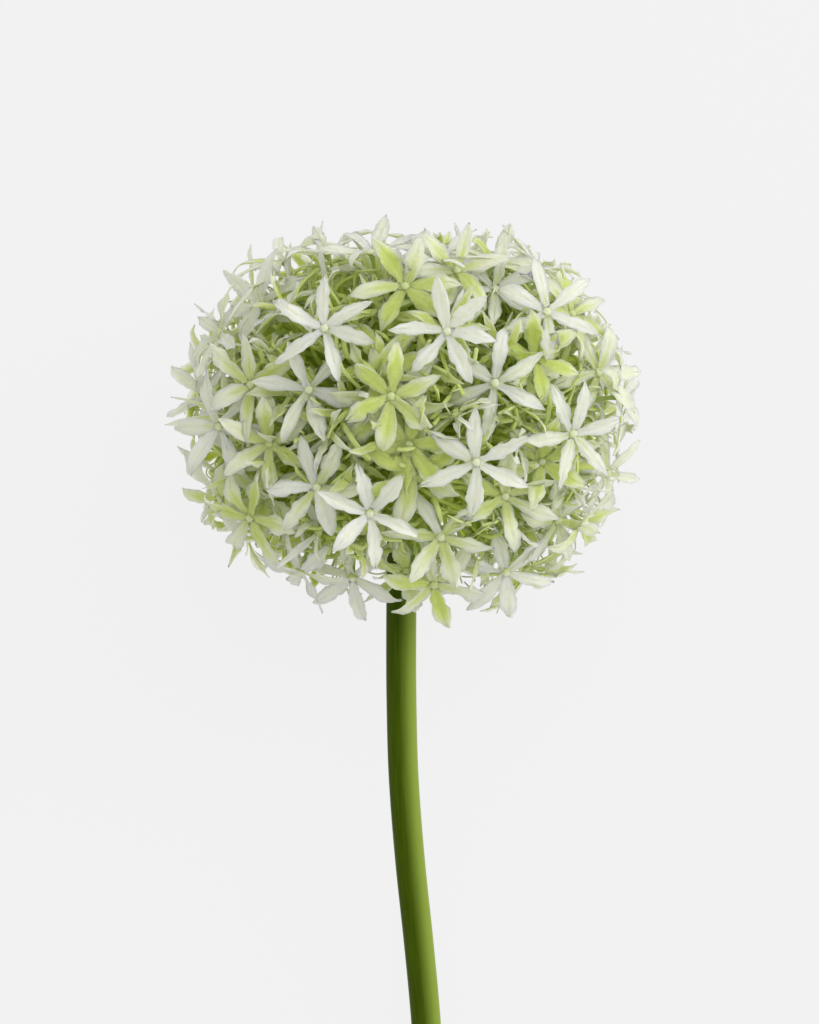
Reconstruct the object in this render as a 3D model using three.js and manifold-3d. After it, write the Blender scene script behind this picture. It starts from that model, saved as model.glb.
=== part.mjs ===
// The flower head of an ornamental white garlic, cut with a short length of its stalk and laid down on its side.
//
// The stalk (scape) is one smooth, slightly bent rod with a flat cut end. Its top carries a knob, the receptacle,
// deep inside the head. Thin stalklets (pedicels) radiate from the knob, and each ends in one six-petalled star with
// a round seed pod in its middle. The stars cover a squat globe. Knob, stalklets and stars grew as one piece.
//
// Units are millimetres. The head frame has x to the right, y up the stalk and z out of the head's front; it is
// tipped back about x until the cut end meets the surface. The part frame has +Z up, and the flower lies on z = 0.
import * as THREE from "three";
import { mergeVertices } from "three/addons/utils/BufferGeometryUtils.js";
import Module from "manifold-3d";

const wasm = await Module();
wasm.setup();

// The head: a squat globe, round about the stalk. Its side view through the stars' middles is a superellipse, above
// its middle squarer than below.
const HEAD_RADIUS = 49.5;
const HEAD_HALF_HEIGHT = 41;
const TOP_SQUARENESS = 2.6; // 2 is an ellipse
const BOTTOM_SQUARENESS = 2;
const HEAD_CENTRE = new THREE.Vector3(0.6, 47.5, 48.2); // in the part frame

// The stars.
const STAR_COUNT = 84; // in an even spread on the whole globe, before those with no room are left out
const STAR_SPACING = 15.6; // a star of the even spread gives way to one placed nearer than this
const INNER_COUNT = 44; // the same for the later, smaller stars between and below them
const INNER_DEPTH = 9;
const INNER_SPACING = 12;
const INNER_SIZE = 0.8;
const STALK_CLEAR_ANGLE = 0.44; // no star grows nearer to the stalk than this, in radians
const LAYER_DEPTHS = [0, 3, 6]; // how far stars that would cross lie below one another
const RIM_SLOPE = 0.5; // a placed star near the head's rim goes back by no more than its depth over this
const NEIGHBOUR_REACH = 25;
const PETALS = 6;
const PETAL_LENGTH = 12.3;
const PETAL_HALF_WIDTHS = [2, 2.6]; // at the two sections of a petal
const PETAL_SECTIONS = [0.36, 0.65]; // shares of its length
const RIDGE_SHARE = 0.5; // where the ridge along the petal's middle is highest
const RIDGE_HEIGHT = 0.95;
const FUNNEL_RISE = 0.42; // the slope of a petal of the even spread as it leaves the hub
const RISE_SPREAD = 0.16;
const HUB_RADIUS = 1.5;
const POD_HEIGHT = 1.9;

// The stalklets and the knob that carries them.
const PEDICEL_RADIUS = 0.75;
const PEDICEL_ROOT_RADIUS = 0.95;
const KNOB_RADIUS = 7;

// The stalk.
const STALK_LENGTH = 150; // from the head's middle to the cut end
const STALK_RADIUS = 3.5;
const STALK_END_RADIUS = 3.4;
const STALK_SIDES = 16;
const STALK_STEPS = 22;
const SEAT_GAP = 0.3; // between the stalk's top and the knob's flat foot

// How the head lies: what would reach below the surface is pressed up, over this height.
const PRESS_HEIGHT = 9;
const PRESS_SOFTNESS = 16.4;
const SEED = 7;

// The head tips back by the angle that sets both the head and the lower rim of the cut end on the surface.
const HEAD_TILT =
  Math.asin(HEAD_CENTRE.z / Math.hypot(STALK_LENGTH, STALK_END_RADIUS)) -
  Math.atan2(STALK_END_RADIUS, STALK_LENGTH);

// Stars as seen from the front, the foremost first: [right, up, turn of the petals in degrees, share by which the
// star turns from facing straight out of the globe to facing the front, slope of the petals as they leave the hub].
const FRONT_STARS = [
  [15.3, -8.7, 31, 0.95, 0.17], [-8.1, -20, 42, 0.9, 0.18], [-18.2, 20.9, 41, 0.85, 0.2],
  [8.9, 20.2, 47, 0.8, 0.22], [-3.5, 5.9, 20, 0.9, 0.2], [19.5, 8.9, 27, 0.9, 0.18],
  [31.1, 24.8, 39, 0.55, 0.14], [-19.9, -14.2, -3, 0.7, 0.24], [36.9, -2.3, 8, 0.6, 0.28],
  [22.1, -33.1, 36, 0.55, 0.22], [-0.4, 30.4, 4, 0.5, 0.36], [-41.8, -0.7, 51, 0.55, 0.15],
  [-34.6, 8.6, 20, 0.5, 0.3], [-21.6, 7.4, 50, 0.7, 0.24], [7.5, -25.2, 50, 0.5, 0.3],
  [-32.7, 27.4, 18, 0.45, 0.26], [42.9, 11.6, 6, 0.5, 0.32], [33.7, -21.5, 33, 0.25, 0.24],
  [21.8, -16.1, 30, 0.4, 0.3], [-12.2, -34.2, 36, 0.5, 0.16], [0, -32.6, 40, 0.3, 0.36],
  [1.2, -11, 28, 0.5, 0.29], [-31.8, -16, 28, 0.5, 0.29], [-41.8, -16.6, 11, 0.25, 0.2],
  [-23.5, -33, 1, 0.2, 0.05], [19.6, 30, 21, 0.45, 0.26], [19.5, 36.4, 7, 0.25, 0.24],
  [33.6, 28.1, 32, 0.1, 0.29], [-7.9, 38.1, 61, 0.15, 0.32], [-28.1, 37.1, 29, 0.15, 0.42],
  [-18, 38.3, 43, 0, 0.29], [-41.6, 20.3, 5, 0, 0.16], [-44.9, 6.8, 20, 0.2, 0.32],
  [45, -10.8, 33, 0.4, 0.22], [47.6, 6.3, -20, 0.05, 0.26], [6, -35.8, 43, 0.4, 0.36],
  [-35, -20.9, 6, 0.3, 0.32], [7.7, 37.2, 52, 0.1, 0.31], [36.9, 24.6, 45, 0.1, 0.2],
  [27, -32.2, -11, 0.2, 0.35], [39, -22.2, -28, 0, 0.4],
];

// A number from 0 to 1 that depends only on the seed, the star and what it is drawn for.
function draw(star, what) {
  let h = (Math.imul(star + SEED, 374761393) + Math.imul(what, 668265263)) | 0;
  h = Math.imul(h ^ (h >>> 13), 1274126177);
  return ((h ^ (h >>> 16)) >>> 0) / 4294967296;
}

// A number from -size to size, drawn in the same way.
function spread(star, what, size) {
  return (2 * draw(star, what) - 1) * size;
}

const FRONT = new THREE.Vector3(0, 0, 1);

function squareness(height) {
  return height > 0 ? TOP_SQUARENESS : BOTTOM_SQUARENESS;
}

// The globe's outward direction at a point on it.
function outward(p) {
  const across = Math.hypot(p.x, p.z);
  const power = squareness(p.y) - 1;
  const side = Math.pow(across / HEAD_RADIUS, power) / HEAD_RADIUS;
  const end = Math.pow(Math.abs(p.y) / HEAD_HALF_HEIGHT, power) / HEAD_HALF_HEIGHT;
  const slope = new THREE.Vector3((p.x / across) * side, Math.sign(p.y) * end, (p.z / across) * side);
  return slope.normalize();
}

// The globe's radius about the stalk at a height.
function radiusAt(height) {
  const power = squareness(height);
  const left = 1 - Math.pow(Math.min(1, Math.abs(height) / HEAD_HALF_HEIGHT), power);
  return HEAD_RADIUS * Math.pow(left, 1 / power);
}

// The stars placed from the front sit on the front of the globe, or on its rim where they reach past it.
function frontStars() {
  return FRONT_STARS.map(([right, up, turn, toFront, rise]) => {
    const depth = Math.sqrt(Math.max(0, radiusAt(up) ** 2 - right ** 2));
    return { middle: new THREE.Vector3(right, up, depth), turn, toFront, rise, placed: true };
  });
}

// Points spread evenly over the globe, each a golden angle on from the last, at a depth below its surface.
function evenStars(count, depth, firstDraw) {
  const goldenAngle = Math.PI * (3 - Math.sqrt(5));
  const stars = [];
  for (let i = 0; i < count; i++) {
    const height = 1 - (2 * i + 1) / count;
    const polar = Math.acos(height) + spread(i, firstDraw, 0.05);
    const round = i * goldenAngle + spread(i, firstDraw + 1, 0.12);
    const way = new THREE.Vector3(
      Math.sin(polar) * Math.sin(round),
      Math.cos(polar),
      Math.sin(polar) * Math.cos(round),
    );
    const power = squareness(way.y);
    const across = Math.pow(Math.hypot(way.x, way.z) / HEAD_RADIUS, power);
    const end = Math.pow(Math.abs(way.y) / HEAD_HALF_HEIGHT, power);
    const middle = way.clone().multiplyScalar(Math.pow(across + end, -1 / power) - depth);
    const turn = spread(i, firstDraw + 2, 30);
    if (Math.acos(-way.y) > STALK_CLEAR_ANGLE) stars.push({ middle, turn, toFront: 0, rise: FUNNEL_RISE });
  }
  return stars;
}

// All the stars: the placed ones, then the even ones that have room beside them, each in the layer that its nearer
// neighbours use least, so that petals pass over and under one another. Last come the inner ones, in the gaps.
function allStars() {
  const stars = frontStars();
  for (const star of evenStars(STAR_COUNT, 0, 1))
    if (stars.every((other) => other.middle.distanceTo(star.middle) > STAR_SPACING)) stars.push(star);
  stars.forEach((star, i) => {
    const crowding = LAYER_DEPTHS.map((_, layer) =>
      stars.slice(0, i).reduce((sum, other) => {
        const near = Math.max(0, NEIGHBOUR_REACH - other.middle.distanceTo(star.middle));
        return sum + (other.layer === layer ? near : 0);
      }, 0),
    );
    star.layer = crowding.indexOf(Math.min(...crowding));
    star.size = 1;
  });
  // A placed star goes down its layer straight back from the front, so that it still shows where it was placed.
  stars.forEach((star) => {
    star.outward = outward(star.middle);
    star.facing = star.outward.clone().lerp(FRONT, star.toFront).normalize();
    if (star.placed) star.middle.z -= LAYER_DEPTHS[star.layer] / Math.max(star.outward.z, RIM_SLOPE);
    else star.middle.addScaledVector(star.outward, -LAYER_DEPTHS[star.layer]);
  });
  for (const star of evenStars(INNER_COUNT, INNER_DEPTH, 91))
    if (stars.every((other) => other.middle.distanceTo(star.middle) > INNER_SPACING))
      stars.push({ ...star, size: INNER_SIZE, facing: outward(star.middle) });
  return stars;
}

// From the head frame to the part frame.
const tipped = new THREE.Matrix4()
  .makeRotationX(HEAD_TILT)
  .setPosition(HEAD_CENTRE);

// What lies low is pressed up onto the surface, the more the lower it is, and stays in order.
function pressed(p) {
  const q = p.clone().applyMatrix4(tipped);
  const low = PRESS_HEIGHT - q.z;
  if (low > 0) q.z = PRESS_HEIGHT - PRESS_SOFTNESS * (1 - Math.exp(-low / PRESS_SOFTNESS));
  return q;
}

// A solid from points and triangles.
function solidOf(points, faces) {
  const vertProperties = new Float32Array(points.flatMap((p) => [p.x, p.y, p.z]));
  return new wasm.Manifold(new wasm.Mesh({ numProp: 3, vertProperties, triVerts: new Uint32Array(faces.flat()) }));
}

// One star on its stalklet, closed in one go: petals with a ridge above and a flat back, a pointed pod in the
// middle, and a three-sided stalklet that runs from under the hub, by a bend, into the knob.
function starSolid(star, i) {
  const n = star.facing;
  const across = new THREE.Vector3(1, 0, 0).addScaledVector(n, -n.x).normalize();
  const along = n.clone().cross(across);
  const turn = THREE.MathUtils.degToRad(star.turn);
  const open = star.rise + spread(i, 72, RISE_SPREAD);
  // A point of the star: angle round it, distance out, sideways to the left, and height above it.
  const at = (angle, out, left, high) =>
    star.middle
      .clone()
      .addScaledVector(across, Math.cos(angle) * out - Math.sin(angle) * left)
      .addScaledVector(along, Math.sin(angle) * out + Math.cos(angle) * left)
      .addScaledVector(n, high);
  const points = [at(0, 0, 0, POD_HEIGHT)];
  const faces = [];
  const root = (k) => 1 + 2 * (k % PETALS);
  const notch = (k) => 2 + 2 * ((k + PETALS) % PETALS);
  for (let k = 0; k < PETALS; k++) {
    const angle = turn + (k * 2 * Math.PI) / PETALS;
    points.push(at(angle, HUB_RADIUS, 0, 0.5));
    points.push(at(angle + Math.PI / PETALS, HUB_RADIUS, 0, 0));
    faces.push([0, root(k), notch(k)], [0, notch(k), root(k + 1)]);
  }
  for (let k = 0; k < PETALS; k++) {
    const what = 10 * k;
    const angle = turn + (k * 2 * Math.PI) / PETALS + spread(i, what + 4, 0.12);
    const length = PETAL_LENGTH * star.size * (1 + spread(i, what + 5, 0.09));
    const rise = open + spread(i, what + 6, RISE_SPREAD);
    const curl = 0.14 + spread(i, what + 7, 0.14);
    const twist = spread(i, what + 8, 0.25);
    const first = points.length;
    const height = (share) => length * share * (rise - curl * share);
    PETAL_SECTIONS.forEach((share, s) => {
      const wide = PETAL_HALF_WIDTHS[s] * star.size;
      points.push(at(angle, length * share, wide, height(share) + wide * twist));
      points.push(at(angle, length * share, -wide, height(share) - wide * twist));
    });
    points.push(at(angle, length * RIDGE_SHARE, 0, height(RIDGE_SHARE) + RIDGE_HEIGHT));
    points.push(at(angle, length, 0, height(1)));
    const [left, right, left2, right2, ridge, tip] = Array.from({ length: 6 }, (_, j) => first + j);
    faces.push(
      [root(k), notch(k - 1), right], [root(k), right, ridge], [ridge, right, right2], [ridge, right2, tip],
      [root(k), left, notch(k)], [root(k), ridge, left], [ridge, left2, left], [ridge, tip, left2],
      [notch(k - 1), notch(k), left], [notch(k - 1), left, right], [right, left, left2], [right, left2, right2],
      [right2, left2, tip],
    );
  }
  // The lower stalklets leave the knob sideways and then arch down, clear of the stalk.
  const way = star.middle.clone().normalize();
  const rootWay = way.clone().setY(way.y < 0 ? way.y * 0.2 : way.y).normalize();
  const knee = way.clone().add(rootWay).normalize().multiplyScalar(star.middle.length() * 0.5);
  knee.x += spread(i, 70, 1.2);
  knee.z += spread(i, 71, 1.2);
  const rings = [
    [star.middle.clone().addScaledVector(n, -1.7), PEDICEL_RADIUS],
    [knee, PEDICEL_RADIUS],
    [rootWay.clone().multiplyScalar(KNOB_RADIUS * 0.6), PEDICEL_ROOT_RADIUS],
  ];
  const under = points.length;
  for (const [middle, radius] of rings)
    for (let j = 0; j < 3; j++) {
      const angle = turn + Math.PI / PETALS + (j * 2 * Math.PI) / 3;
      const rim = across.clone().multiplyScalar(Math.cos(angle)).addScaledVector(along, Math.sin(angle));
      points.push(middle.clone().addScaledVector(rim, radius));
    }
  for (let j = 0; j < 3; j++) {
    const a = under + j;
    const b = under + ((j + 1) % 3);
    faces.push([notch(2 * j), a, notch(2 * j + 1)], [notch(2 * j + 1), a, b], [notch(2 * j + 1), b, notch(2 * j + 2)]);
    faces.push([a, a + 3, b + 3], [a, b + 3, b], [a + 3, a + 6, b + 6], [a + 3, b + 6, b + 3]);
  }
  faces.push([under + 6, under + 8, under + 7]);
  return solidOf(points.map(pressed), faces);
}

// A three.js geometry as a solid in the part frame, and back.
function fromGeometry(geometry) {
  const bare = geometry.clone();
  bare.deleteAttribute("normal");
  bare.deleteAttribute("uv");
  const merged = mergeVertices(bare, 1e-3);
  return new wasm.Manifold(
    new wasm.Mesh({
      numProp: 3,
      vertProperties: merged.attributes.position.array,
      triVerts: new Uint32Array(merged.index.array),
    }),
  );
}

function toGeometry(solid) {
  const mesh = solid.getMesh();
  return new THREE.BufferGeometry()
    .setAttribute("position", new THREE.BufferAttribute(new Float32Array(mesh.vertProperties), 3))
    .setIndex(new THREE.BufferAttribute(new Uint32Array(mesh.triVerts), 1));
}

// The knob: a ball with a flat foot that faces the stalk's top.
const KNOB_FOOT = -KNOB_RADIUS * 0.8;
function knobSolid() {
  const profile = [new THREE.Vector2(0, KNOB_FOOT)];
  const steps = 6;
  const footAngle = Math.asin(KNOB_FOOT / KNOB_RADIUS);
  for (let i = 0; i < steps; i++) {
    const angle = footAngle + ((Math.PI / 2 - footAngle) * i) / steps;
    profile.push(new THREE.Vector2(Math.cos(angle) * KNOB_RADIUS, Math.sin(angle) * KNOB_RADIUS));
  }
  profile.push(new THREE.Vector2(0, KNOB_RADIUS));
  const lathe = new THREE.LatheGeometry(profile, 12);
  return fromGeometry(lathe.applyMatrix4(tipped));
}

// The head: the stars joined to the knob, cut level where they lie on the surface, with loose scraps dropped.
function umbelSolid() {
  const whole = wasm.Manifold.union([knobSolid(), ...allStars().map(starSolid)]);
  const level = whole.trimByPlane([0, 0, 1], 0);
  return level.decompose().sort((a, b) => b.volume() - a.volume())[0];
}

// The stalk follows a curve in the head frame: straight down out of the head, then a gentle bend to the right.
const STALK_ROUTE = [
  [-0.6, KNOB_FOOT - SEAT_GAP], [-1.1, -25], [-1.3, -48], [-1.2, -64], [-0.7, -80],
  [0.7, -98], [2.6, -116], [4.2, -133], [5.3, -STALK_LENGTH],
];
function stalkGeometry() {
  const route = new THREE.CatmullRomCurve3(STALK_ROUTE.map(([x, y]) => new THREE.Vector3(x, y, 0)));
  const points = [];
  for (let i = 0; i <= STALK_STEPS; i++) {
    const share = i / STALK_STEPS;
    const middle = route.getPointAt(share);
    // Both ends are cut level across the head frame, so that the top faces the knob's foot squarely.
    const lean = i === 0 || i === STALK_STEPS ? new THREE.Vector3(0, -1, 0) : route.getTangentAt(share);
    const side = new THREE.Vector3(-lean.y, lean.x, 0).normalize();
    const radius = THREE.MathUtils.lerp(STALK_RADIUS, STALK_END_RADIUS, share);
    for (let j = 0; j < STALK_SIDES; j++) {
      const angle = ((j + 0.5) * 2 * Math.PI) / STALK_SIDES;
      const rim = middle.clone().addScaledVector(side, Math.cos(angle) * radius);
      rim.z += Math.sin(angle) * radius;
      points.push(rim.applyMatrix4(tipped));
    }
  }
  const faces = [];
  const last = STALK_STEPS * STALK_SIDES;
  for (let i = 0; i < STALK_STEPS; i++)
    for (let j = 0; j < STALK_SIDES; j++) {
      const a = i * STALK_SIDES + j;
      const b = i * STALK_SIDES + ((j + 1) % STALK_SIDES);
      faces.push([a, b, a + STALK_SIDES], [b, b + STALK_SIDES, a + STALK_SIDES]);
    }
  for (let j = 1; j < STALK_SIDES - 1; j++) {
    faces.push([0, j + 1, j], [last, last + j, last + j + 1]);
  }
  return toGeometry(solidOf(points, faces));
}

function mesh(name, geometry, color, roughness) {
  const made = new THREE.Mesh(geometry, new THREE.MeshStandardMaterial({ color, roughness, metalness: 0 }));
  made.name = name;
  return made;
}

const flower = new THREE.Group();
flower.add(mesh("stalk", stalkGeometry(), 0x63780f, 0.45));
flower.add(mesh("umbel", toGeometry(umbelSolid()), 0xdfe3cd, 0.6));
export default flower;
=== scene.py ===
"""A garlic flower head on its cut stalk, laid on a pale surface: every visible piece, around the fixed frame.

Lengths in this file are millimetres until a mesh is made. The head frame has x to the right, y up the stalk
and z out of the head's front. It is tipped back about x, so that the head and the stalk's cut end lie on the
surface.
"""

import math

import bpy
import numpy as np
from mathutils.kdtree import KDTree
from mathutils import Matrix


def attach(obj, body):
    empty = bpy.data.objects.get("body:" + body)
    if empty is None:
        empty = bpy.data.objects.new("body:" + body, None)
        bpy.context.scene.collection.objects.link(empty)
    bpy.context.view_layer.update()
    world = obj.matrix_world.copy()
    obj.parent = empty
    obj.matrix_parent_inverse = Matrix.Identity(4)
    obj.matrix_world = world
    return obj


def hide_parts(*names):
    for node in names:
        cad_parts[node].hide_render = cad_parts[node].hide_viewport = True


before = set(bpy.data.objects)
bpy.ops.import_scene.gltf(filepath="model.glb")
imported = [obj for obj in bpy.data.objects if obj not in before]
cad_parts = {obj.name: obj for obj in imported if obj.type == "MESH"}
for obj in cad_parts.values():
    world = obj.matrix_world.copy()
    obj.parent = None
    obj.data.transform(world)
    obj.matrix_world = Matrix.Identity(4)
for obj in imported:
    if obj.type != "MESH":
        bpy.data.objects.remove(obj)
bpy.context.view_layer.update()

# ---- The camera ----
# It looks down on the lying flower, square to the stalk, through a long lens.
HEAD_CENTRE = np.array([0.6, 47.5, 48.2])
STALK_LENGTH = 150.0  # from the head's middle to the cut end
STALK_END_RADIUS = 3.4
HEAD_TILT = math.asin(HEAD_CENTRE[2] / math.hypot(STALK_LENGTH, STALK_END_RADIUS)) - math.atan2(
    STALK_END_RADIUS, STALK_LENGTH
)
CAMERA_DISTANCE = 2000.0
VIEW_HEIGHT = 230.8  # how much of the head's plane the camera takes in
VIEW_MIDDLE = (0.6, -19.6, 0.0)  # what it looks at, in the head frame
SENSOR_HEIGHT = 24.0
MM = 0.001

HEAD_AXES = np.array(
    [
        [1, 0, 0],
        [0, math.cos(HEAD_TILT), math.sin(HEAD_TILT)],
        [0, -math.sin(HEAD_TILT), math.cos(HEAD_TILT)],
    ]
)


def to_part(points):
    """From the head frame to the part frame: turned about x by the head's tilt, then moved to its centre."""
    return points @ HEAD_AXES + HEAD_CENTRE


camera = bpy.data.objects.new("camera", bpy.data.cameras.new("camera"))
bpy.context.scene.collection.objects.link(camera)
bpy.context.scene.camera = camera
camera.location = to_part(np.array(VIEW_MIDDLE) + [0, 0, CAMERA_DISTANCE]) * MM
camera.rotation_euler = (HEAD_TILT, 0, 0)
camera.data.sensor_fit = "VERTICAL"
camera.data.sensor_height = SENSOR_HEIGHT
camera.data.lens = SENSOR_HEIGHT * CAMERA_DISTANCE / VIEW_HEIGHT
camera.data.clip_end = 10.0

# ---- The surface and the light ----
# A light table: a pale sheet that glows evenly, so that what lies on it hardly throws a shadow. Above it are
# a wide softbox, a smaller and stronger one to the right, and a white room.


def linear(colour):
    """An sRGB hex colour as linear red, green, blue and alpha, by the sRGB curve."""
    channels = np.array([int(colour[i : i + 2], 16) / 255 for i in (1, 3, 5)])
    straight = np.where(channels > 0.04045, ((channels + 0.055) / 1.055) ** 2.4, channels / 12.92)
    return (*straight.tolist(), 1.0)


def fill_inputs(node, inputs):
    """Gives each of a node's inputs, by its number or name, a link, a hex colour or another value."""
    for key, value in dict(inputs).items():
        if isinstance(value, bpy.types.NodeSocket):
            node.id_data.links.new(value, node.inputs[key])
        else:
            node.inputs[key].default_value = linear(value) if isinstance(value, str) else value


def add_node(tree, kind, inputs=(), out=0, **settings):
    """Adds a node of a kind with its settings and inputs, and gives one of its outputs, by number or name."""
    made = tree.nodes.new("ShaderNode" + kind)
    for name, value in settings.items():
        setattr(made, name, value)
    fill_inputs(made, inputs)
    return made.outputs[out]


def new_material(name):
    """A material, its node tree, and the Principled shader that the tree ends in."""
    made = bpy.data.materials.new(name)
    made.use_nodes = True
    return made, made.node_tree, made.node_tree.nodes["Principled BSDF"]


# Opal acrylic lit from below: most of its brightness is its own glow.
acrylic, tree, shader = new_material("glowing_opal_acrylic")
fill_inputs(
    shader,
    {
        "Base Color": "#404040", "Roughness": 0.9, "Specular IOR Level": 0.0,
        "Emission Color": "#FFFFFF", "Emission Strength": 0.832,
    },
)
FLOOR_HALF = 2.5  # metres
floor_mesh = bpy.data.meshes.new("floor")
floor_corners = [(x * FLOOR_HALF, y * FLOOR_HALF, 0) for x, y in ((-1, -1), (1, -1), (1, 1), (-1, 1))]
floor_mesh.from_pydata(floor_corners, [], [(0, 1, 2, 3)])
floor_mesh.materials.append(acrylic)
floor = bpy.data.objects.new("floor", floor_mesh)
bpy.context.scene.collection.objects.link(floor)
# Its sheen is cut by a polarising film, so that it shows in nothing that lies on it.
floor.visible_glossy = False


def add_softbox(name, middle, target, size, power):
    """A square area light in metres and watts that faces its target."""
    light = bpy.data.lights.new(name, "AREA")
    light.shape = "SQUARE"
    light.size = size
    light.energy = power
    made = bpy.data.objects.new(name, light)
    bpy.context.scene.collection.objects.link(made)
    made.location = middle
    way = np.array(target) - np.array(middle)
    level = math.hypot(way[0], way[1])
    made.rotation_euler = (math.atan2(level, -way[2]), 0, math.atan2(-way[0], way[1]) if level else 0.0)


add_softbox("softbox_above", middle=(0.35, 0.55, 1.6), target=(0, 0.03, 0.05), size=1.2, power=6.5)
add_softbox("softbox_right", middle=(1.3, 0.4, 0.8), target=(0, 0.0, 0.05), size=0.8, power=7.5)
world = bpy.data.worlds.new("white_room")
bpy.context.scene.world = world
world.use_nodes = True
# The room is brighter towards its window on the right.
tree = world.node_tree
direction = add_node(tree, "TexCoord", out="Generated")
rightward = add_node(tree, "SeparateXYZ", {0: direction})
glow = add_node(tree, "MapRange", {"Value": rightward, "From Min": -1, "To Min": 0.64, "To Max": 0.96})
fill_inputs(tree.nodes["Background"], {"Color": "#FFFFFF", "Strength": glow})
bpy.context.scene.view_settings.view_transform = "Standard"
# Light bounces many times between the pale pieces inside the head.
bpy.context.scene.cycles.diffuse_bounces = 8

# ---- The stalk ----
# The scape of the plant: one solid, juicy green rod with a waxy skin and faint lengthwise ribs. It is cut
# straight across at the bottom and ends inside the head, under the knob. Made as rings carried along its bent
# middle line.
STALK_RADIUS = 3.45
KNOB_RADIUS = 7.0
KNOB_FOOT = -KNOB_RADIUS * 0.8
SEAT_GAP = 0.3
STALK_ROUTE = np.array(
    [
        (-0.6, KNOB_FOOT - SEAT_GAP), (-1.1, -25), (-1.3, -48), (-1.2, -64), (-0.7, -80),
        (0.7, -98), (2.6, -116), (4.2, -133), (5.3, -STALK_LENGTH),
    ]
)
STALK_STEPS = 90
STALK_SIDES = 48
STALK_RIBS = 11
RIB_HEIGHT = 0.035
END_ROUNDING = 0.25
SKIN_GAP = 0.05  # how far inside the solid's end the skin's lies
SHARP_ANGLE = 62  # degrees; an edge past it stays sharp


def tube_faces(count, rows, around):
    """Faces of many tubes, each a grid of rows by points around: quads between rows, and a cap at each end.

    Also gives each face corner's place in its tube's map: u round the tube and v along it for the sides, and
    a small disc for each cap. The tubes' maps stand in a square grid."""
    ring = np.arange(around)
    following = (ring + 1) % around
    first = np.arange(count)[:, None, None] * rows * around
    row = first + np.arange(rows - 1)[None, :, None] * around
    quads = np.stack([row + ring, row + following, row + following + around, row + ring + around], -1)
    start_caps = first[:, 0] + ring[::-1]
    end_caps = first[:, 0] + (rows - 1) * around + ring
    u = np.stack([ring, ring + 1, ring + 1, ring], -1) / around
    v = (np.arange(rows - 1)[:, None, None] + np.array([0, 0, 1, 1])) / (rows - 1)
    sides = np.stack(np.broadcast_arrays(0.05 + 0.9 * u[None], 0.05 + 0.74 * v), -1)
    turn = 2 * np.pi * ring / around
    disc = np.stack([0.07 * np.cos(turn), 0.07 * np.sin(turn)], -1)
    spots = np.concatenate([sides.reshape(-1, 2), disc[::-1] + (0.25, 0.89), disc + (0.75, 0.89)])
    cells = math.ceil(math.sqrt(count))
    corner = np.stack([np.arange(count) % cells, np.arange(count) // cells], -1)
    places = (corner[:, None, :] + spots[None]) / cells
    caps_from = (rows - 1) * around * 4
    loops = np.split(places, [caps_from, caps_from + around], axis=1)
    places = np.concatenate([part.reshape(-1, 2) for part in loops])
    return [quads.reshape(-1, 4), start_caps, end_caps], places


PRESS_HEIGHT = 9.0
PRESS_SOFTNESS = 16.4
TOUCH_HEIGHT = 0.6  # below this the points crowd together on the surface and never go through it


def pressed(points):
    """Lifts low points in the part frame, as the lying head is pressed up by the surface: first by a soft
    exponential curve, then by one that never reaches 0."""
    made = points.copy()
    low = np.maximum(PRESS_HEIGHT - made[:, 2], 0)
    lifted = PRESS_HEIGHT - PRESS_SOFTNESS * (1 - np.exp(-low / PRESS_SOFTNESS))
    touching = TOUCH_HEIGHT * np.exp((lifted - TOUCH_HEIGHT) / TOUCH_HEIGHT)
    lifted = np.where(lifted < TOUCH_HEIGHT, touching, lifted)
    made[:, 2] = np.where(low > 0, lifted, made[:, 2])
    return made


HELD_LOW = np.array([-54.3, -1000, -1000])  # the widest that the head grows, in the part frame
HELD_HIGH = np.array([54.0, 96.6, 1000])
HELD_SOFTNESS = 1.2


def held_in(points):
    """Bends in what reaches within a softness of the greatest width and height, by an exponential curve."""
    low = HELD_LOW + HELD_SOFTNESS
    high = HELD_HIGH - HELD_SOFTNESS
    over = np.maximum(points - high, 0)
    under = np.maximum(low - points, 0)
    made = np.clip(points, low, high)
    return made + HELD_SOFTNESS * (np.exp(-under / HELD_SOFTNESS) - np.exp(-over / HELD_SOFTNESS))


def add_piece(name, points, faces, places, material, marks):
    """A piece from points in the head frame's millimetres, groups of like faces, map places and point
    attributes. The object sits at the origin."""
    mesh = bpy.data.meshes.new(name)
    mesh.vertices.add(len(points))
    mesh.vertices.foreach_set("co", (held_in(pressed(to_part(points))) * MM).astype(np.float32).ravel())
    totals = np.concatenate([np.full(len(group), group.shape[1]) for group in faces])
    mesh.loops.add(int(totals.sum()))
    corners = np.concatenate([group.ravel() for group in faces]).astype(np.int32)
    mesh.loops.foreach_set("vertex_index", corners)
    mesh.polygons.add(len(totals))
    mesh.polygons.foreach_set("loop_start", (np.cumsum(totals) - totals).astype(np.int32))
    mesh.update(calc_edges=True)
    layer = mesh.uv_layers.new(name="OFBake")
    layer.data.foreach_set("uv", places.astype(np.float32).ravel())
    for key, values in marks.items():
        made = mesh.attributes.new(key, "FLOAT", "POINT")
        made.data.foreach_set("value", np.asarray(values, np.float32).ravel())
    mesh.shade_smooth()
    mesh.set_sharp_from_angle(angle=math.radians(SHARP_ANGLE))
    mesh.materials.append(material)
    piece = bpy.data.objects.new(name, mesh)
    bpy.context.scene.collection.objects.link(piece)
    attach(piece, "root")
    return piece


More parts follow.
